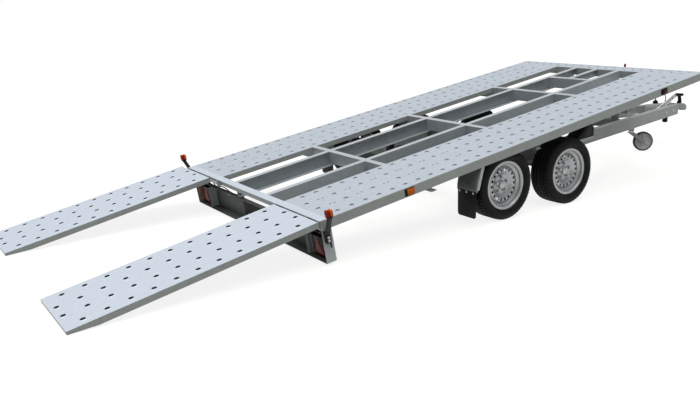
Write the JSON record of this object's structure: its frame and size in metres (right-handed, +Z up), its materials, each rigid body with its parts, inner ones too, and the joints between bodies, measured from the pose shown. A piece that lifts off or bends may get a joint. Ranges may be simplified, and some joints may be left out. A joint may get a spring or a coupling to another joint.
{
  "type": "car carrier trailer",
  "caption": "Tandem-axle car trailer with a tilting perforated bed, two hook-on loading ramps, overrun coupling and a swivelling jockey wheel",
  "frame": {"origin": "on the ground, midway between the ramp tips and the coupling's nose, and midway across", "axes": "+X forward to the coupling, +Y to the left, +Z up"},
  "size_m": [6.9828, 2.34, 0.9072],
  "materials": {
    "galvanised_beam": "hot-dip galvanised steel",
    "galvanised_plate": "punched zinc-coated sheet",
    "steel_rim": "silver",
    "tyre_rubber": "matt",
    "black_rubber": "matt",
    "black_plastic": "moulded",
    "coupling_zinc": "zinc-plated pressed steel",
    "grey_plastic": "moulded",
    "red_lens": "lamp lens"
  },
  "bodies": {
    "chassis": {"axle_front": "galvanised_beam", "axle_rear": "galvanised_beam", "bed_buffers": "black_rubber", "chassis_cross_tubes": "galvanised_beam", "chassis_rail_left": "galvanised_beam", "chassis_rail_right": "galvanised_beam", "chock_holders": "galvanised_beam", "coupling_gaiter": "black_rubber", "coupling_handle": "black_plastic", "coupling_head": "coupling_zinc", "handbrake_lever": "steel_rim", "jockey_clamp": "galvanised_beam", "jockey_crank": "steel_rim", "jockey_tube": "steel_rim", "lead_gland": "black_plastic", "overrun_housing": "coupling_zinc", "pivot_brackets": "galvanised_beam", "trailer_lead": "black_rubber", "trailer_plug": "black_plastic", "wheel_chocks": "black_plastic"},
    "bed": {"bed_beam_left": "galvanised_beam", "bed_beam_right": "galvanised_beam", "bed_cross_members": "galvanised_beam", "front_beam": "galvanised_beam", "front_rib": "galvanised_beam", "light_board": "galvanised_beam", "marker_arm_left": "black_rubber", "marker_arm_right": "black_rubber", "marker_lamps": "red_lens", "mudguard_left": "black_rubber", "mudguard_right": "black_rubber", "mudguard_stays": "galvanised_beam", "number_plate_holder": "black_plastic", "rear_bar": "galvanised_beam", "side_markers": "red_lens", "side_rail_left": "galvanised_beam", "side_rail_right": "galvanised_beam", "tail_lamps": "red_lens", "track_left": "galvanised_plate", "track_right": "galvanised_plate"},
    "ramp_left": {"ramp_left": "galvanised_plate"},
    "ramp_right": {"ramp_right": "galvanised_plate"},
    "jockey_leg": {"jockey_leg": "steel_rim"},
    "jockey_fork": {"jockey_fork": "steel_rim"},
    "jockey_wheel": {"jockey_rim": "grey_plastic", "jockey_tyre": "tyre_rubber"},
    "wheel_front_left": {"tyre_front_left": "tyre_rubber", "wheel_front_left": "steel_rim"},
    "wheel_front_right": {"tyre_front_right": "tyre_rubber", "wheel_front_right": "steel_rim"},
    "wheel_rear_left": {"tyre_rear_left": "tyre_rubber", "wheel_rear_left": "steel_rim"},
    "wheel_rear_right": {"tyre_rear_right": "tyre_rubber", "wheel_rear_right": "steel_rim"}
  },
  "joints": [
    {"name": "bed_tilt", "type": "hinge", "parent": "chassis", "child": "bed", "pos_m": [0.34637, 0, 0.47], "axis": [0, 1, 0], "range_deg": [0, 8.4]},
    {"name": "ramp_left_hinge", "type": "hinge", "parent": "bed", "child": "ramp_left", "pos_m": [-1.91167, 0.87, 0.27707], "axis": [0, 1, 0], "range_deg": [-22, 6]},
    {"name": "ramp_right_hinge", "type": "hinge", "parent": "bed", "child": "ramp_right", "pos_m": [-1.91167, -0.762, 0.27707], "axis": [0, 1, 0], "range_deg": [-22, 6]},
    {"name": "wheel_front_left_spin", "type": "hinge", "parent": "chassis", "child": "wheel_front_left", "pos_m": [0.41637, 0.926, 0.2625], "axis": [0, 1, 0], "continuous": true},
    {"name": "wheel_front_right_spin", "type": "hinge", "parent": "chassis", "child": "wheel_front_right", "pos_m": [0.41637, -0.926, 0.2625], "axis": [0, 1, 0], "continuous": true},
    {"name": "wheel_rear_left_spin", "type": "hinge", "parent": "chassis", "child": "wheel_rear_left", "pos_m": [-0.27363, 0.926, 0.2625], "axis": [0, 1, 0], "continuous": true},
    {"name": "wheel_rear_right_spin", "type": "hinge", "parent": "chassis", "child": "wheel_rear_right", "pos_m": [-0.27363, -0.926, 0.2625], "axis": [0, 1, 0], "continuous": true},
    {"name": "jockey_lift", "type": "slide", "parent": "chassis", "child": "jockey_leg", "axis": [0, 0, 1], "range_m": [-0.2, 0]},
    {"name": "jockey_swivel", "type": "hinge", "parent": "jockey_leg", "child": "jockey_fork", "pos_m": [2.49637, -0.05, 0.25], "axis": [0, 0, 1], "continuous": true},
    {"name": "jockey_wheel_spin", "type": "hinge", "parent": "jockey_fork", "child": "jockey_wheel", "pos_m": [2.59749, -0.12347, 0.1], "axis": [0.5878, 0.809, 0], "continuous": true}
  ]
}
